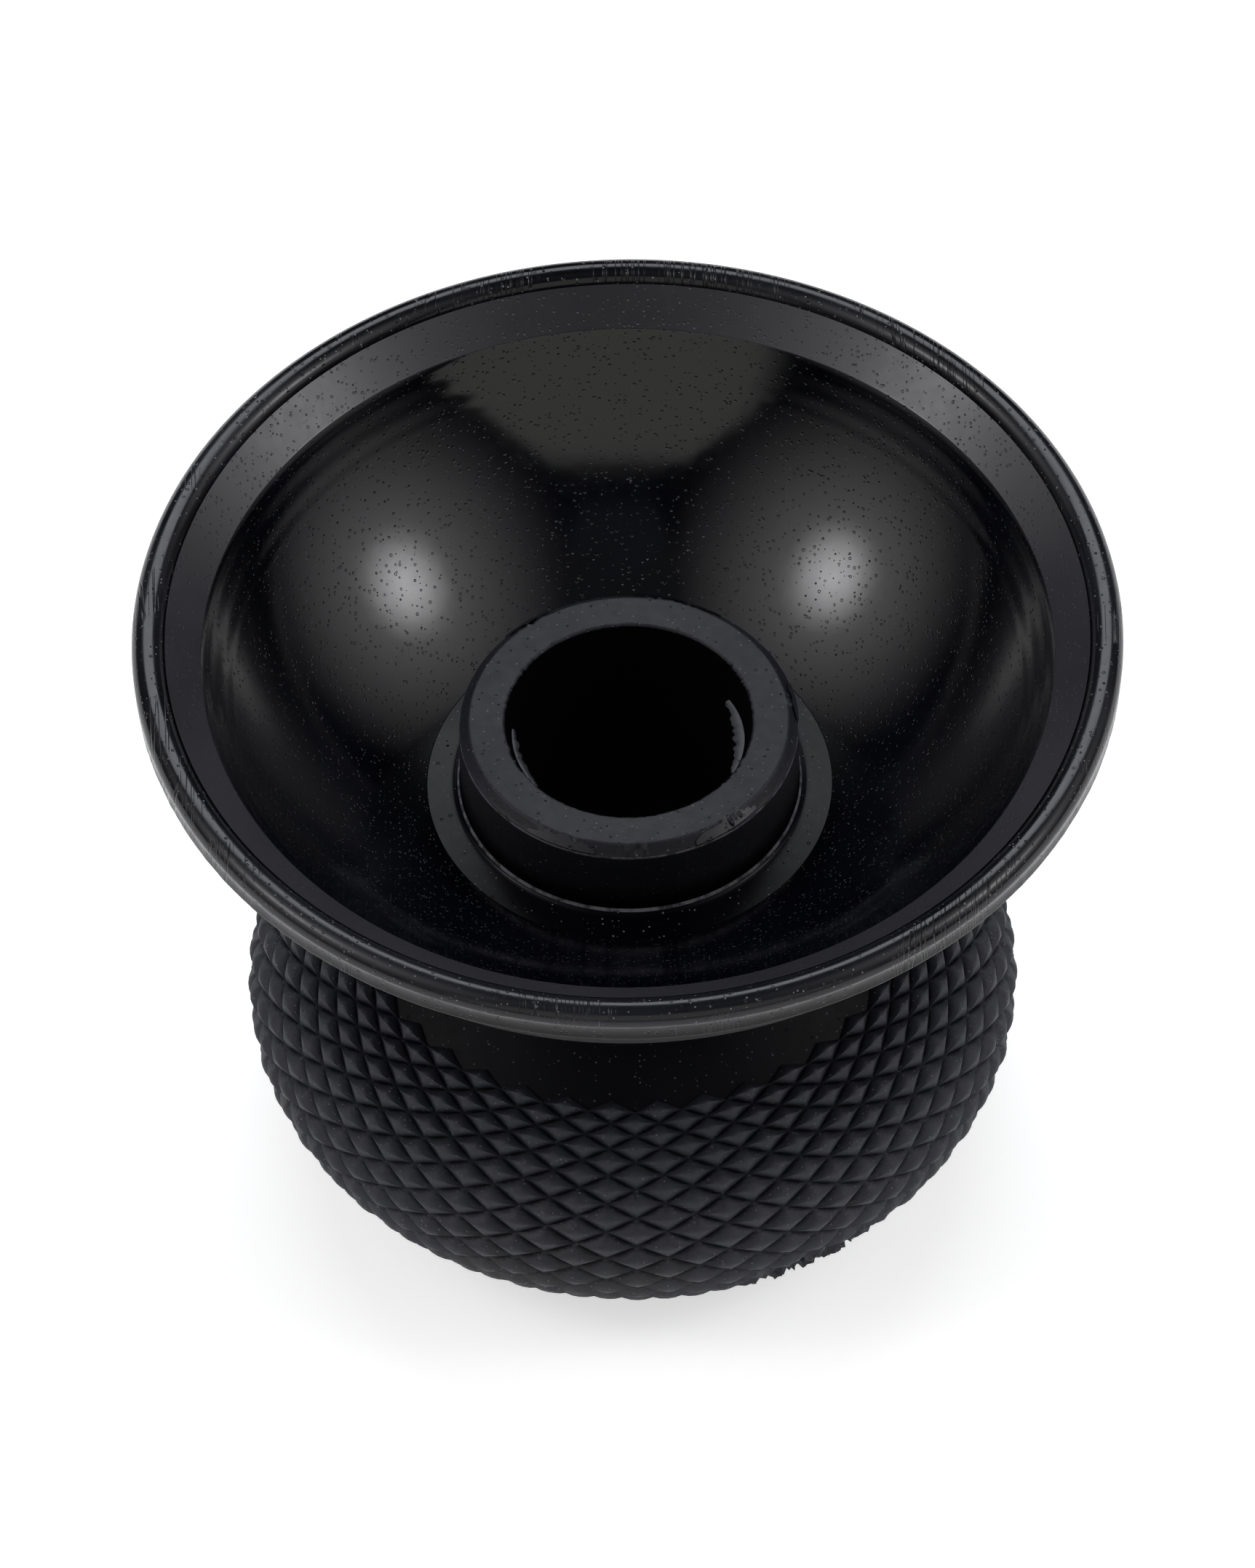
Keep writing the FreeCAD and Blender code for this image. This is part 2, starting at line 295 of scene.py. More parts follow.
def scratches(tree, where, turn_degrees, scale, share):
    """1 along a few fine, nearly straight scratches that lie at an angle, 0 elsewhere."""
    turned = node(tree, "ShaderNodeMapping")
    turned.inputs["Rotation"].default_value = (0, 0, math.radians(turn_degrees))
    turned.inputs["Scale"].default_value = (scale, scale * 0.03, scale * 0.03)
    tree.links.new(where, turned.inputs["Vector"])
    streak = noise_value(tree, turned.outputs["Vector"], 1.0, 1.0, 0.4)
    thin = maths(tree, "ABSOLUTE", maths(tree, "SUBTRACT", streak, 0.5))
    hair = remap(tree, thin, 0.0, 0.012, 1.0, 0.0)
    patch = noise_value(tree, where, 110.0, 1.0)
    return maths(tree, "MULTIPLY", hair, remap(tree, patch, 1.0 - share, 1.05 - share, 0.0, 1.0))


def bump(tree, height, distance, below=None):
    """The normal over a relief of that height in metres, on top of the relief below it."""
    made = node(tree, "ShaderNodeBump", {"Strength": 1.0, "Distance": distance})
    tree.links.new(height, made.inputs["Height"])
    if below is not None:
        tree.links.new(below, made.inputs["Normal"])
    return made.outputs["Normal"]


SCRATCH_ANGLES = (12.0, 74.0, 131.0)
RING_PITCH = 0.0011


def black_plastic(name, dark, light, smooth, rough, peel, pit=None, grain=None, sheen_level=0.5,
                  dust=None, scratch=None, lip=None, rings=None, hollows=False, foot=None, painted_highlight=None):
    """Moulded black plastic or rubber.

    dark and light are the two colours that it varies between, smooth and rough the two roughnesses,
    peel the depth of the orange peel, pit (cell, size, share, depth) and grain (scale, depth).
    dust is (cell, size, share, colour), scratch (share, depth), lip (radius, extra roughness outside
    it, colour outside it) and rings (inner radius, outer radius, depth). hollows paints shade into the
    grooves of the mesh, with a darker colour and weaker reflection there, and foot (low, high) paints
    shade the same way, softly below those heights in metres. painted_highlight (what, low, high,
    colour) is a painted highlight, a lighter band, where what is "height" or "radius" and its limits
    are in metres.
    """
    material = bpy.data.materials.new(name)
    material.use_nodes = True
    tree = material.node_tree
    shader = tree.nodes["Principled BSDF"]
    shader.inputs["Specular IOR Level"].default_value = sheen_level
    where = node(tree, "ShaderNodeTexCoord").outputs["Object"]
    blotch = noise_value(tree, where, 60.0, 4.0)
    fine = noise_value(tree, where, 900.0, 3.0)
    mix = node(tree, "ShaderNodeMix", data_type="RGBA")
    mix.inputs["A"].default_value = (*dark, 1)
    mix.inputs["B"].default_value = (*light, 1)
    tree.links.new(remap(tree, blotch, 0.3, 0.7, 0.0, 1.0), mix.inputs["Factor"])
    colour = mix.outputs["Result"]
    spread = maths(tree, "ADD", maths(tree, "MULTIPLY", blotch, 0.6), maths(tree, "MULTIPLY", fine, 0.4))
    dullness = remap(tree, spread, 0.3, 0.7, smooth, rough)
    if dust:
        cell, size, share, tint = dust
        specks = pits(tree, where, cell, size, share)
        colour = blend(tree, colour, tint, specks)
        dullness = maths(tree, "ADD", dullness, maths(tree, "MULTIPLY", specks, 0.4))
    if lip:
        edge, extra, tint = lip
        outside = remap(tree, axis_distance(tree, where), edge, edge + 0.0002, 0.0, 1.0)
        dullness = maths(tree, "ADD", dullness, maths(tree, "MULTIPLY", outside, extra))
        cover = maths(tree, "MULTIPLY", outside, remap(tree, blotch, 0.2, 0.7, 0.7, 1.0))
        colour = blend(tree, colour, tint, cover)
    # painted shade: the grooves, or the part below the foot heights, get a near-black colour and weaker
    # reflection
    if hollows or foot:
        if hollows:
            curve = node(tree, "ShaderNodeNewGeometry").outputs["Pointiness"]
            open_share = remap(tree, curve, 0.42, 0.50, 0.05, 1.0)
        else:
            open_share = remap(tree, parts_of(tree, where)["Z"], *foot, 0.06, 1.0)
        deep = node(tree, "ShaderNodeMix", data_type="RGBA")
        deep.inputs["A"].default_value = (0.0008, 0.0008, 0.0010, 1)
        tree.links.new(colour, deep.inputs["B"])
        tree.links.new(open_share, deep.inputs["Factor"])
        colour = deep.outputs["Result"]
        sheen = maths(tree, "MULTIPLY", open_share, sheen_level)
        tree.links.new(sheen, shader.inputs["Specular IOR Level"])
    # painted highlight: a lighter band between the given heights or radii
    if painted_highlight:
        what, low, high, tint = painted_highlight
        place = axis_distance(tree, where) if what == "radius" else parts_of(tree, where)["Z"]
        colour = blend(tree, colour, tint, painted_highlight_band(tree, place, low, high, 0.00006, fine))
    tree.links.new(colour, shader.inputs["Base Color"])
    tree.links.new(dullness, shader.inputs["Roughness"])
    normal = bump(tree, noise_value(tree, where, 260.0, 2.0), peel)
    if grain:
        normal = bump(tree, noise_value(tree, where, grain[0], 4.0, 0.65), grain[1], normal)
    if pit:
        cell, size, share, depth = pit
        hollow = maths(tree, "SUBTRACT", 1.0, pits(tree, where, cell, size, share))
        normal = bump(tree, hollow, depth, normal)
    if scratch:
        for angle in SCRATCH_ANGLES:
            hair = maths(tree, "SUBTRACT", 1.0, scratches(tree, where, angle, 900.0, scratch[0]))
            normal = bump(tree, hair, scratch[1], normal)
    if rings:
        inner, outer, depth = rings
        distance = axis_distance(tree, where)
        wave = maths(tree, "SINE", maths(tree, "MULTIPLY", distance, 2 * math.pi / RING_PITCH))
        zone = remap(tree, distance, inner, inner + 0.001, 0.0, 1.0)
        end = remap(tree, distance, outer - 0.0003, outer, 1.0, 0.0)
        ripple = maths(tree, "MULTIPLY", wave, maths(tree, "MULTIPLY", zone, end))
        normal = bump(tree, ripple, depth, normal)
    tree.links.new(normal, shader.inputs["Normal"])
    return material


def steel(name, colour):
    """Plain turned steel, with fine rings and uneven polish."""
    material = bpy.data.materials.new(name)
    material.use_nodes = True
    tree = material.node_tree
    shader = tree.nodes["Principled BSDF"]
    shader.inputs["Metallic"].default_value = 1.0
    where = node(tree, "ShaderNodeTexCoord").outputs["Object"]
    blotch = noise_value(tree, where, 180.0, 4.0)
    mix = node(tree, "ShaderNodeMix", data_type="RGBA")
    mix.inputs["A"].default_value = (*colour, 1)
    mix.inputs["B"].default_value = (*[c * 0.75 for c in colour], 1)
    tree.links.new(blotch, mix.inputs["Factor"])
    tree.links.new(mix.outputs["Result"], shader.inputs["Base Color"])
    tree.links.new(remap(tree, blotch, 0.3, 0.7, 0.25, 0.42), shader.inputs["Roughness"])
    rings = node(tree, "ShaderNodeTexWave", {"Scale": 900.0, "Distortion": 1.5})
    rings.wave_type = "RINGS"
    rings.rings_direction = "Z"
    tree.links.new(where, rings.inputs["Vector"])
    tree.links.new(bump(tree, rings.outputs["Fac"], 0.00003), shader.inputs["Normal"])
    return material


# depths, cells, heights and radii in the materials are in metres
BLACK = (0.0008, 0.0010, 0.0021)
BLACK_LIGHT = (0.0018, 0.0021, 0.0038)
MATTE = (0.0066, 0.0070, 0.0102)
MATTE_LIGHT = (0.0112, 0.0117, 0.0160)

MATERIALS = {
    "dish": black_plastic("dish_black", BLACK, BLACK_LIGHT, 0.09, 0.16, 0.000012,
                          pit=(0.00045, 0.36, 0.6, 0.00006),
                          dust=(0.00042, 0.25, 0.32, (0.030, 0.030, 0.038)),
                          scratch=(0.30, 0.000008), lip=(CREASE_RADIUS * MM, 0.20, (0.028, 0.028, 0.033)),
                          rings=(0.0345, 0.0374, 0.000006)),
    # the rim carries painted shade: its skirt darkens softly towards the bottom
    "rim": black_plastic("rim_black", (0.004, 0.0042, 0.0055), (0.012, 0.0125, 0.0155), 0.13, 0.26, 0.00002,
                         sheen_level=0.34, pit=(0.0006, 0.3, 0.7, 0.00010), scratch=(0.5, 0.00003),
                         dust=(0.00045, 0.25, 0.5, (0.14, 0.14, 0.15)), foot=(0.0574, 0.0602)),
    "bell": black_plastic("bell_black", BLACK, BLACK_LIGHT, 0.46, 0.58, 0.00002, sheen_level=0.12,
                          pit=(0.0012, 0.18, 0.3, 0.00004), dust=(0.00045, 0.25, 0.5, (0.07, 0.07, 0.08))),
    # the ring carries a painted highlight, a lighter line round the boss's foot
    "ring": black_plastic("ring_black", BLACK, BLACK_LIGHT, 0.18, 0.28, 0.000012, sheen_level=0.10,
                          pit=(0.0009, 0.20, 0.6, 0.00010), dust=(0.00045, 0.25, 0.5, (0.12, 0.12, 0.14)),
                          painted_highlight=("radius", *[r * MM for r in FOOT_LINE], (0.16, 0.16, 0.18))),
    # the sleeve carries painted shade, its boss's side darkening softly towards the foot, and a painted
    # highlight, a lighter line along the bevel
    "sleeve": black_plastic("sleeve_black", MATTE, MATTE_LIGHT, 0.42, 0.56, 0.00002, sheen_level=0.28,
                            pit=(0.0007, 0.22, 0.6, 0.00010), grain=(2600.0, 0.00004),
                            dust=(0.00045, 0.25, 0.45, (0.10, 0.10, 0.11)),
                            foot=(0.0416, 0.0446),
                            painted_highlight=("height", *[h * MM for h in BEVEL_LINE], (0.13, 0.13, 0.145))),
    "flash": black_plastic("flash_black", (0.008, 0.0084, 0.0112), (0.018, 0.0186, 0.0225),
                           0.36, 0.54, 0.00003,
                           sheen_level=0.40, pit=(0.0005, 0.4, 0.7, 0.00012)),
    # painted shade: the bore's wall is near black and hardly reflects, as if unlit
    "bore": black_plastic("bore_painted_shade", (0.0006, 0.0006, 0.0007), (0.0012, 0.0012, 0.0014), 0.85, 0.95,
                          0.00001, sheen_level=0.03),
    # the grip carries painted shade in the knurl's grooves
    "grip": black_plastic("grip_black", (0.0064, 0.0071, 0.0122), (0.0118, 0.0130, 0.0205), 0.50, 0.68,
                          0.00002, sheen_level=0.50, grain=(2600.0, 0.00006),
                          dust=(0.00042, 0.27, 0.5, (0.09, 0.09, 0.10)), hollows=True),
    "base": black_plastic("base_black", MATTE, MATTE_LIGHT, 0.38, 0.52, 0.00002,
                          grain=(2400.0, 0.00002)),
    "steel": steel("turned_steel", (0.52, 0.52, 0.53)),
}


def dress(piece, material):
    """Gives a piece its material."""
    piece.data.materials.clear()
    piece.data.materials.append(MATERIALS[material])
    return piece


# --- Funnel -------------------------------------------------------------------------------

def lip_direction():
    """The crease in the half section, and the direction of the lip outwards from it."""
    crease = Vector(bowl_arc(BOWL_RADIUS, CREASE_RADIUS, CREASE_RADIUS, 1)[0])
    along = (Vector((LIP_RADIUS, LIP_HEIGHT)) - crease).normalized()
    return crease, along


def make_dish():
    """The glossy dish, with a crisp crease where the lip begins."""
    hole = SEAT_RADIUS + SEAM
    crease, along = lip_direction()
    below = Vector((along.y, -along.x)) * LINER
    upper = bowl_arc(BOWL_RADIUS, hole, CREASE_RADIUS - 0.12, 110)
    lip = line(tuple(crease + along * 0.12), (LIP_RADIUS, LIP_HEIGHT), 10) + [(LIP_RADIUS, LIP_HEIGHT)]
    low_edge = crease + below
    low_edge = low_edge + along * ((LIP_RADIUS - low_edge.x) / along.x)
    under = bowl_arc(BOWL_RADIUS + LINER, CREASE_RADIUS + 1.35, hole, 60)
    dish = turn("dish", upper + lip + [tuple(low_edge)] + under, 512, sharp_degrees=12.0)
    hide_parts("dish_liner")
    return dress(dish, "dish")


def rim_shape(radius, height, bearing):
    """Slight unevenness of the rim, with a few nicks on its skirt."""
    outer = np.clip((radius - (RIM_RADIUS - 0.5)) / 0.5, 0, 1) * np.clip((RIM_HEIGHT - height) / 0.6, 0, 1)
    rough = waves(bearing, SEED, 24) * 0.05 + waves(bearing * 3, SEED + 1, 16) * 0.03
    return radius + outer * (rough - 0.08), height + outer * rough * 0.6


def make_rim():
    """The rounded bead with its short skirt."""
    middle = RIM_RADIUS - BEAD_RADIUS
    bottom = RIM_HEIGHT - RIM_SKIRT
    inner = LIP_RADIUS + SEAM
    bead = arc((middle, RIM_HEIGHT), BEAD_RADIUS, 157, 0, 28)
    skirt = line((RIM_RADIUS - 0.02, RIM_HEIGHT - 0.05), (RIM_RADIUS - 0.06, bottom + 0.4), 6)
    foot = arc((RIM_RADIUS - 0.41, bottom + 0.35), 0.35, 0, -90, 6)
    outline = bead + skirt + foot + [(inner, bottom), (inner, LIP_HEIGHT - 0.3)]
    rim = turn("rim", outline, 720, rim_shape)
    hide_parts("rim_bead")
    return dress(rim, "rim")


def make_bell():
    """The outer wall of the funnel, the waist and the smooth shoulder, in one line."""
    outer = BOWL_RADIUS + WALL
    inside = BOWL_RADIUS + LINER + SEAM
    hole = SLEEVE_RADIUS + SEAM
    rim_foot = RIM_HEIGHT - RIM_SKIRT - SEAM
    centre_radius = NECK_RADIUS + WAIST_RADIUS
    centre = (centre_radius, BOWL_CENTRE - math.sqrt((outer + WAIST_RADIUS) ** 2 - centre_radius ** 2))
    touch = centre_radius * outer / (outer + WAIST_RADIUS)
    start = math.degrees(math.acos(-centre_radius / (outer + WAIST_RADIUS)))
    waist = arc(centre, WAIST_RADIUS, start, 270 - math.degrees(SHOULDER_SLOPE), 48)
    foot_radius = math.sqrt(outer ** 2 - (BOWL_CENTRE - rim_foot) ** 2)
    edge_height = waist[-1][1] - (SHOULDER_EDGE - waist[-1][0]) * math.tan(SHOULDER_SLOPE)
    outline = (
        bowl_arc(outer, foot_radius, touch, 70)
        + waist[1:]
        + line(waist[-1], (SHOULDER_EDGE, edge_height), 6)[1:]
        + [(SHOULDER_EDGE, edge_height), (SHOULDER_EDGE, SHOULDER_FOOT), (hole, SHOULDER_FOOT)]
        + [(hole, SEAT_BOTTOM - SEAM), (SEAT_RADIUS, SEAT_BOTTOM - SEAM)]
        + bowl_arc(inside, SEAT_RADIUS, 38.9, 50)
        + [(LIP_RADIUS, rim_foot)]
    )
    bell = turn("bell", outline, 384)
    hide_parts("outer_bell")
    return dress(bell, "bell")


# --- Socket -------------------------------------------------------------------------------

def make_seat_ring():
    """The glossy ring round the boss, hollow on top, with a sharp outer edge."""
    edge = bowl_arc(BOWL_RADIUS, SEAT_RADIUS, SEAT_RADIUS, 1)[0][1]
    foot = BOSS_RADIUS + 0.06
    inner = SLEEVE_RADIUS + SEAM
    top = []
    for step in range(33):
        share = step / 32
        radius = SEAT_RADIUS + (foot - SEAT_RADIUS) * share
        top.append((radius, edge + 0.42 * share + 0.45 * share ** 12))
    outline = [(inner, SEAT_BOTTOM), (SEAT_RADIUS, SEAT_BOTTOM)] + top
    outline += [(foot, BOSS_FOOT - SEAM), (inner, BOSS_FOOT - SEAM)]
    ring = turn("socket_foot_ring", outline, 384)
    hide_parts("seat_ring")
    return dress(ring, "ring")


# bearing and half width in degrees of the ragged stretches along the boss's edges
FLASH_OUTER = ((-115, 12), (-54, 13), (9, 9), (72, 16), (127, 10), (-88, 8))
FLASH_INNER = ((150, 30), (200, 26), (20, 34), (-30, 18), (90, 12))


def sleeve_shape(radius, height, bearing):
    """Ragged moulding flash along the boss's two upper edges."""
    outer_edge = np.exp(-(((radius - (BOSS_RADIUS - 0.5)) / 0.45) ** 2
                          + ((height - BOSS_TOP + 0.35) / 0.5) ** 2))
    inner_edge = np.exp(-(((radius - BORE_RADIUS) / 0.28) ** 2 + ((height - BOSS_TOP) / 0.35) ** 2))
    rough = waves(bearing, SEED + 2, 30)
    fine = waves(bearing * 2, SEED + 3, 24)
    outer = 0.03 + sum(window(bearing, centre, half) for centre, half in FLASH_OUTER)
    inner = 0.25 + sum(window(bearing, centre, half) for centre, half in FLASH_INNER)
    bite = outer_edge * outer * (0.26 * rough + 0.22 * fine + 0.04)
    lump = inner_edge * np.clip(inner, 0, 1) * (0.15 * rough + 0.13 * fine)
    ripple = 0.012 * waves(bearing, SEED + 4, 20)
    return radius + bite - lump + ripple, height + bite * 0.8 + lump * 0.4


def make_sleeve():
    """The bored sleeve with its bevelled, flashed boss."""
    top = BOSS_TOP - 0.02
    outline = (
        line((BORE_RADIUS, SLEEVE_BOTTOM + 0.3), (BORE_RADIUS, BOSS_TOP - 1.2), 40)
        + line((BORE_RADIUS, BOSS_TOP - 1.2), (BORE_RADIUS, BOSS_TOP - 0.3), 8)
        + arc((BORE_RADIUS + 0.28, top - 0.28), 0.28, 180, 90, 6)
        + line((BORE_RADIUS + 0.4, top), (BOSS_RADIUS - 1.05, top), 16)
        + arc((BOSS_RADIUS - 1.05, top - 0.35), 0.35, 90, 50, 4)
        + line((BOSS_RADIUS - 0.80, top - 0.10), (BOSS_RADIUS - 0.12, top - 0.80), 8)
        + arc((BOSS_RADIUS - 0.35, top - 1.02), 0.35, 40, 0, 4)
        + line((BOSS_RADIUS, top - 1.1), (BOSS_RADIUS, BOSS_FOOT), 30)
        + [(BOSS_RADIUS, BOSS_FOOT), (SLEEVE_RADIUS, BOSS_FOOT)]
        + [(SLEEVE_RADIUS, SLEEVE_BOTTOM + 0.3), (SLEEVE_RADIUS - 0.3, SLEEVE_BOTTOM)]
        + [(BORE_RADIUS + 0.3, SLEEVE_BOTTOM)]
    )
    sleeve = turn("socket", outline, 720, sleeve_shape)
    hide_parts("socket_sleeve")
    dress(sleeve, "sleeve")
    # painted shade: the bore's wall below its mouth takes the near-black, hardly reflecting bore material,
    # as if unlit
    sleeve.data.materials.append(MATERIALS["bore"])
    for face in sleeve.data.polygons:
        middle = face.center
        inside = math.hypot(middle.x, middle.y) < (BORE_RADIUS + 0.22) * MM
        if inside and middle.z < (BOSS_TOP - 0.25) * MM:
            face.material_index = 1
    return sleeve


# bearing and half width in degrees, reach, gap at the start and at the end
BORE_FLAPS = ((-158.0, 19.0, 0.8, 0.6, 0.0), (-9.0, 24.0, 1.25, 0.0, 1.7))
EDGE_FLAPS = ((-115.0, 12.5, 1.0, 0.0, 0.0), (-54.0, 13.0, 1.1, 0.0, 0.2), (9.0, 8.0, 0.7, 0.0, 0.0),
              (72.0, 16.0, 0.7, 0.1, 0.0), (127.0, 9.0, 0.7, 0.0, 0.0))


def make_flash(name, flaps, foot_radius, foot_height, rise, power, seed):
    """Thin torn flaps of moulding flash that reach inwards from a circle, rising or hanging by rise."""
    points, faces = [], []
    steps, across = 72, 6
    for number, (centre, half, reach, gap_start, gap_end) in enumerate(flaps):
        start = len(points)
        for step in range(steps + 1):
            share = step / steps
            bearing = math.radians(centre + half * (2 * share - 1))
            torn = float(waves(np.array([bearing]), seed + number, 14)[0])
            gap = gap_start * (1 - share) ** 1.5 + gap_end * share ** 1.5
            width = reach * math.sin(math.pi * (0.04 + 0.92 * share)) ** 0.6 * (0.75 + 0.25 * torn)
            section = []
            for place in range(across + 1):
                part = place / across
                radius = foot_radius - gap - max(width, 0.05) * part
                section.append((radius, foot_height + rise * part ** power * max(width, 0.05) / reach))
            section += [(radius, height - FLASH_THICKNESS) for radius, height in reversed(section)]
            for radius, height in section:
                points.append((radius * math.cos(bearing) * MM, radius * math.sin(bearing) * MM,
                               height * MM))
        count = 2 * (across + 1)
        for step in range(steps):
            for place in range(count):
                other = (place + 1) % count
                here, after = start + step * count, start + (step + 1) * count
                faces.append((here + place, after + place, after + other, here + other))
        faces.append(tuple(range(start, start + count)))
        end = start + steps * count
        faces.append(tuple(reversed(range(end, end + count))))
    mesh = bpy.data.meshes.new(name)
    mesh.from_pydata(points, [], faces)
    fix_normals(mesh)
    return dress(finish_mesh(name, mesh), "flash")


# --- Knurled grip -------------------------------------------------------------------------

def lattice_angles():
    """Angles up the ball's side of the knurl's rows of corners, from the scalloped lip down."""
    wide = KNOB_RADIUS - GROOVE_DEPTH
    tall = KNOB_HALF_HEIGHT - GROOVE_DEPTH
    first = math.acos(GRIP_TOP_RADIUS / wide)
    last = math.asin((GRIP_BOTTOM - KNOB_CENTRE) / tall)
    angles = [first]
    while angles[-1] > last:
        angle = angles[-1]
        width = 2 * math.pi * wide * math.cos(angle) / DIAMONDS_ROUND
        rate = math.hypot(wide * math.sin(angle), tall * math.cos(angle))
        angles.append(angle - width * DIAMOND_SLOPE / 2 / rate)
    stretch = (last - first) / (angles[-1] - first)
    return [first + (angle - first) * stretch for angle in angles]


DAMAGE_BEARING = -61.0         # where the torn patch is round the ball and up its side, in degrees
DAMAGE_ANGLE = -20.0
DAMAGE_WIDTH = 16.0
DAMAGE_HEIGHT = 11.0


def knurl_points(rows, turns, heights, angles):
    """Points of the grip from fractional rows and turns, lifted square to the ball's side."""
    wide = KNOB_RADIUS - GROOVE_DEPTH
    tall = KNOB_HALF_HEIGHT - GROOVE_DEPTH
    angle = np.interp(rows, np.arange(len(angles)), angles)
    out = np.cos(angle) * tall
    up = np.sin(angle) * wide
    size = np.hypot(out, up)
    radius = wide * np.cos(angle) + heights * out / size
    level = KNOB_CENTRE + tall * np.sin(angle) + heights * up / size
    bearing = 2 * math.pi * turns / DIAMONDS_ROUND
    return np.stack([radius * np.cos(bearing), radius * np.sin(bearing), level], axis=-1)


def thicken(work, depth):
    """Closes an open skin round the ball with an inner face, that many millimetres further in."""
    wide, tall = (KNOB_RADIUS * MM) ** 2, (KNOB_HALF_HEIGHT * MM) ** 2
    skin = list(work.faces)
    edges = [edge for edge in work.edges if len(edge.link_faces) == 1]
    inner = {}
    for vertex in list(work.verts):
        x, y, z = vertex.co
        square = Vector((x / wide, y / wide, (z - KNOB_CENTRE * MM) / tall)).normalized()
        inner[vertex] = work.verts.new(vertex.co - square * depth * MM)
    for face in skin:
        work.faces.new([inner[vertex] for vertex in reversed(face.verts)])
    for edge in edges:
        first, second = edge.verts
        work.faces.new((first, second, inner[second], inner[first]))


def make_grip(steps=8):
    """The grip skin, with every diamond a slightly rounded pyramid between V grooves."""
    angles = lattice_angles()
    last = len(angles) - 1
    maker = random.Random(SEED)
    cells = []
    for row in range(1, last + 1):
        for column in range(DIAMONDS_ROUND):
            cells.append((row, column + 0.5 * (row % 2) + 0.5, maker.uniform(-1, 1)))
    share = np.arange(steps + 1) / steps
    a, b = np.meshgrid(share, share, indexing="ij")
    ridge = np.minimum(np.minimum(a, 1 - a), np.minimum(b, 1 - b)) * 2
    groove = 0.04
    lift = 1 - (1 - np.clip((ridge - groove) / (1 - groove), 0, 1)) ** 2.1
    points = []
    faces = []
    per_cell = (steps + 1) ** 2

    for number, (row, centre, change) in enumerate(cells):
        rows = row + (a - b)
        turns = centre + (a + b - 1) / 2
        bearing = math.degrees(2 * math.pi * centre / DIAMONDS_ROUND)
        slope = math.degrees(angles[row])
        away_round = (bearing - DAMAGE_BEARING + 180) % 360 - 180
        hurt = max(0.0, 1 - math.hypot(away_round / DAMAGE_WIDTH,
                                       (slope - DAMAGE_ANGLE) / DAMAGE_HEIGHT))
        height = GROOVE_DEPTH * (0.93 + 0.05 * change) * (1 - 0.75 * min(1.0, hurt * 1.6))
        raised = lift * height
        if hurt > 0:
            torn = np.random.RandomState(SEED + number).uniform(-0.35, 0.95, lift.shape)
            raised = raised + torn * np.clip(ridge * 2, 0, 1) * min(1.0, hurt * 1.6)
        block = knurl_points(np.minimum(rows, last), turns, raised, angles)
        points.append(block.reshape(-1, 3))
        for i in range(steps):
            for j in range(steps):
                corner = number * per_cell + i * (steps + 1) + j
                quad = (corner, corner + 1, corner + steps + 2, corner + steps + 1)
                if j < i and row == last:
                    continue
                if j == i:
                    faces.append(quad[:3])
                    if row < last:
                        faces.append((quad[0], quad[2], quad[3]))
                elif i + j == steps - 1:
                    faces.append((quad[0], quad[1], quad[3]))
                    faces.append(quad[1:])
                else:
                    faces.append(quad)
    mesh = bpy.data.meshes.new("grip")
    mesh.from_pydata((np.concatenate(points) * MM).tolist(), [], faces)
    work = bmesh.new()
    work.from_mesh(mesh)
    bmesh.ops.remove_doubles(work, verts=work.verts, dist=0.00001)
    loose = [vertex for vertex in work.verts if not vertex.link_faces]
    bmesh.ops.delete(work, geom=loose, context="VERTS")
    bmesh.ops.recalc_face_normals(work, faces=work.faces)
    thicken(work, GRIP_SKIN)
    bmesh.ops.recalc_face_normals(work, faces=work.faces)
    work.to_mesh(mesh)
    work.free()
    grip = finish_mesh("grip", mesh, 40.0)
    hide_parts("knurled_grip")
    return dress(grip, "grip")


# --- Base ---------------------------------------------------------------------------------

def make_base():
    """The cap under the knob and the soft ring in its groove."""
    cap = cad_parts["base_cap"]
    dress(cap, "base")
    corners = [(FOOT_INNER, FOOT_TOP), (FOOT_INNER, 0.0), (FOOT_OUTER, 0.0), (FOOT_OUTER, FOOT_TOP)]
    outline = rounded(corners, 0.5)
    foot = turn("foot", outline, 256)
    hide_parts("foot_ring")
    dress(foot, "base")


def dress_inner_nodes():
    """Materials for the pieces that are inside."""
    dress(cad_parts["knob_core"], "base")
    dress(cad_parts["clamp_washer"], "steel")
    dress(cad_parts["clamp_nut"], "steel")


make_dish()
make_rim()
make_bell()
make_seat_ring()
make_sleeve()
make_flash("bore_flash", BORE_FLAPS, BORE_RADIUS - 0.02, BOSS_TOP - 0.30, -0.33, 2, SEED + 20)
make_flash("edge_flash", EDGE_FLAPS, BOSS_RADIUS + 0.02, BOSS_TOP - 0.66, 0.92, 1, SEED + 40)
make_grip()
make_base()
dress_inner_nodes()


# --- Stage --------------------------------------------------------------------------------

VIEW_ELEVATION = 50.6
CAMERA_DISTANCE = 4.5
CAMERA_ROLL = math.radians(-0.9)
FRAME_HEIGHT = 0.1391          # metres seen from the top to the bottom of the frame
AIM_DROP = 0.01252             # metres from the rim's centre down the frame to its middle
SENSOR = 36.0
FLOOR_REACH = 12.0
FLOOR_DROP = 0.0002


def direction(azimuth, elevation):
    """A unit vector; azimuth 0 is the camera's side and 90 the right, in degrees."""
    a, e = math.radians(azimuth), math.radians(elevation)
    return Vector((math.sin(a) * math.cos(e), -math.cos(a) * math.cos(e), math.sin(e)))


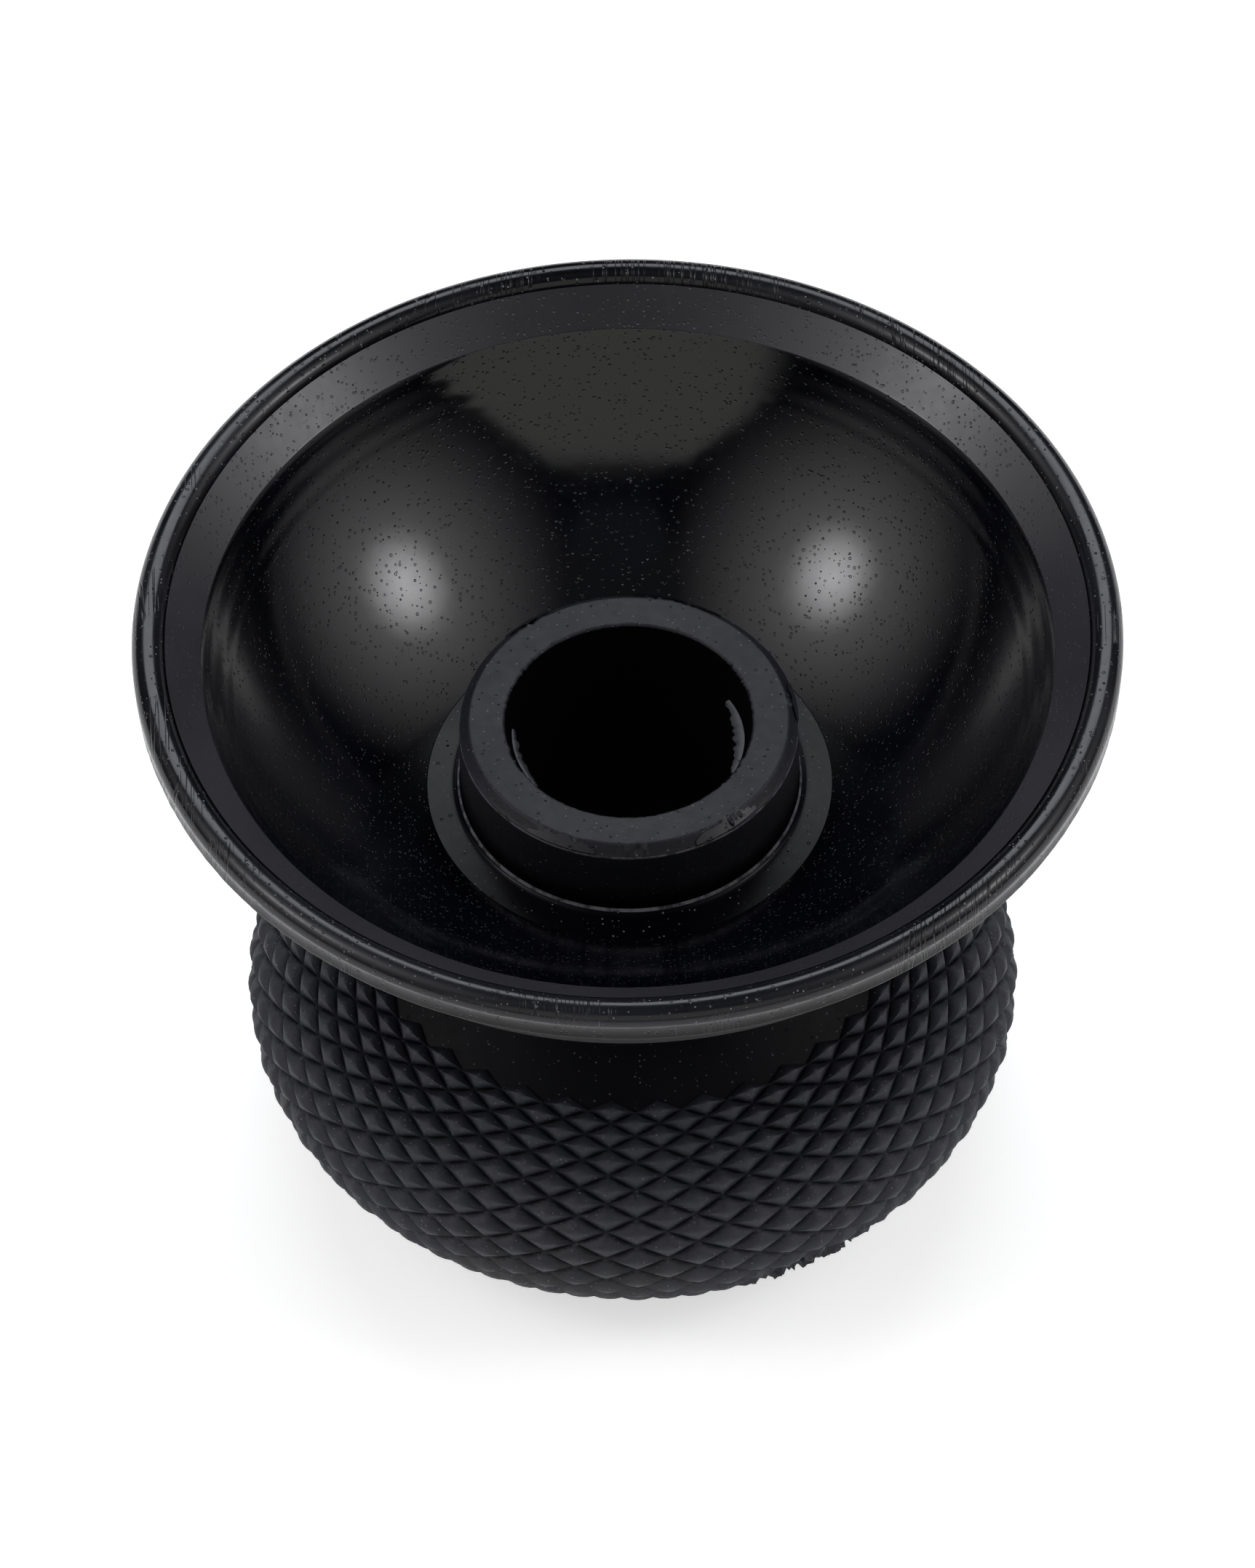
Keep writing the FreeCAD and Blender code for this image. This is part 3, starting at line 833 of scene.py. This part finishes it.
def make_camera():
    """A long lens from the front and above, so that the frame is FRAME_HEIGHT at the rim."""
    camera = bpy.data.objects.new("camera", bpy.data.cameras.new("camera"))
    bpy.context.scene.collection.objects.link(camera)
    camera.data.sensor_width = SENSOR
    camera.data.lens = SENSOR * CAMERA_DISTANCE / FRAME_HEIGHT
    towards = direction(0, VIEW_ELEVATION)
    turned = (-towards).to_track_quat("-Z", "Y") @ Quaternion((0, 0, 1), CAMERA_ROLL)
    target = Vector((0, 0, RIM_HEIGHT * MM)) - (turned @ Vector((0, 1, 0))) * AIM_DROP
    camera.location = target + towards * CAMERA_DISTANCE
    camera.rotation_mode = "QUATERNION"
    camera.rotation_quaternion = turned
    bpy.context.scene.camera = camera


def square_mesh(name, reach):
    """A flat square that reaches that far from its middle."""
    mesh = bpy.data.meshes.new(name)
    corners = [(-reach, -reach, 0), (reach, -reach, 0), (reach, reach, 0), (-reach, reach, 0)]
    mesh.from_pydata(corners, [], [(0, 1, 2, 3)])
    return mesh


def make_floor():
    """The plain pale floor, glowing a little so that it stays white."""
    mesh = square_mesh("floor", FLOOR_REACH)
    floor = bpy.data.objects.new("floor", mesh)
    bpy.context.scene.collection.objects.link(floor)
    floor.location.z = -FLOOR_DROP
    material = bpy.data.materials.new("pale_floor")
    material.use_nodes = True
    shader = material.node_tree.nodes["Principled BSDF"]
    shader.inputs["Base Color"].default_value = (0.86, 0.86, 0.86, 1)
    shader.inputs["Roughness"].default_value = 0.9
    shader.inputs["Specular IOR Level"].default_value = 0.1
    shader.inputs["Emission Color"].default_value = (1, 1, 1, 1)
    shader.inputs["Emission Strength"].default_value = 0.55
    mesh.materials.append(material)


def panel(name, place, towards, width, height, strength, colour, soft_sides=None, hot=None):
    """A glowing panel at a place above the rim's centre, facing along towards.

    soft_sides is the share of its half width and of its half height that fades out. A panel with
    hot (share of the radius, strength) is round, fades from its middle and glows more there.
    """
    mesh = square_mesh(name, 1)
    made = bpy.data.objects.new(name, mesh)
    bpy.context.scene.collection.objects.link(made)
    made.location = Vector(place) + Vector((0, 0, RIM_HEIGHT * MM))
    made.rotation_mode = "QUATERNION"
    made.rotation_quaternion = Vector(towards).to_track_quat("Z", "Y")
    made.scale = (width / 2, height / 2, 1)
    material = bpy.data.materials.new(name)
    material.use_nodes = True
    tree = material.node_tree
    tree.nodes.remove(tree.nodes["Principled BSDF"])
    glow = node(tree, "ShaderNodeEmission", {"Color": (*colour, 1)})
    tree.links.new(glow.outputs["Emission"], tree.nodes["Material Output"].inputs["Surface"])
    where = node(tree, "ShaderNodeTexCoord").outputs["Object"]
    if hot:
        length = node(tree, "ShaderNodeVectorMath", operation="LENGTH")
        tree.links.new(where, length.inputs[0])
        inward = maths(tree, "MAXIMUM", maths(tree, "SUBTRACT", 1.0, length.outputs["Value"]), 0.0)
        wide = maths(tree, "MULTIPLY", maths(tree, "POWER", inward, 1.9), strength)
        core = remap(tree, length.outputs["Value"], 0.0, hot[0], hot[1], 0.0)
        level = maths(tree, "ADD", wide, core)
    else:
        parts = parts_of(tree, where)
        level = strength
        for side, soft in zip(("X", "Y"), soft_sides):
            away = maths(tree, "ABSOLUTE", parts[side])
            level = maths(tree, "MULTIPLY", remap(tree, away, 1.0 - soft, 1.0, 1.0, 0.0), level)
    tree.links.new(level, glow.inputs["Strength"])
    mesh.materials.append(material)
    made.visible_camera = False


def make_light():
    """Two round lamps at the sides, three soft panels, and a white surround seen by the camera alone."""
    white = (0.99, 0.98, 1.0)
    cool = (0.93, 0.95, 1.0)
    pale = (1.0, 1.0, 0.94)
    for side, azimuth, elevation in (("right", 83, 38), ("left", -80, 41)):
        towards = direction(azimuth, elevation)
        panel(f"light_{side}", towards, towards, 1.9, 1.9, 2.5, white, hot=(0.25, 6.5))
    panel("light_front", (0.25, -1.0, 0.53), (0, -1, 0), 2.2, 0.86, 0.78, pale, soft_sides=(0.28, 0.12))
    panel("light_over", (0, 0.94, 1.0), (0, 0, 1), 1.7, 0.96, 4.2, cool, soft_sides=(0.45, 0.40))
    panel("light_fill", (0, -0.50, 1.15), (0, 0, 1), 2.0, 1.0, 0.10, cool, soft_sides=(0.5, 0.5))
    world = bpy.data.worlds.new("studio")
    bpy.context.scene.world = world
    world.use_nodes = True
    background = world.node_tree.nodes["Background"]
    background.inputs["Color"].default_value = (1.0, 1.0, 1.0, 1)
    background.inputs["Strength"].default_value = 1.0
    world.cycles_visibility.glossy = False
    world.cycles_visibility.diffuse = False


make_camera()
make_floor()
make_light()
bpy.context.scene.view_settings.view_transform = "Standard"
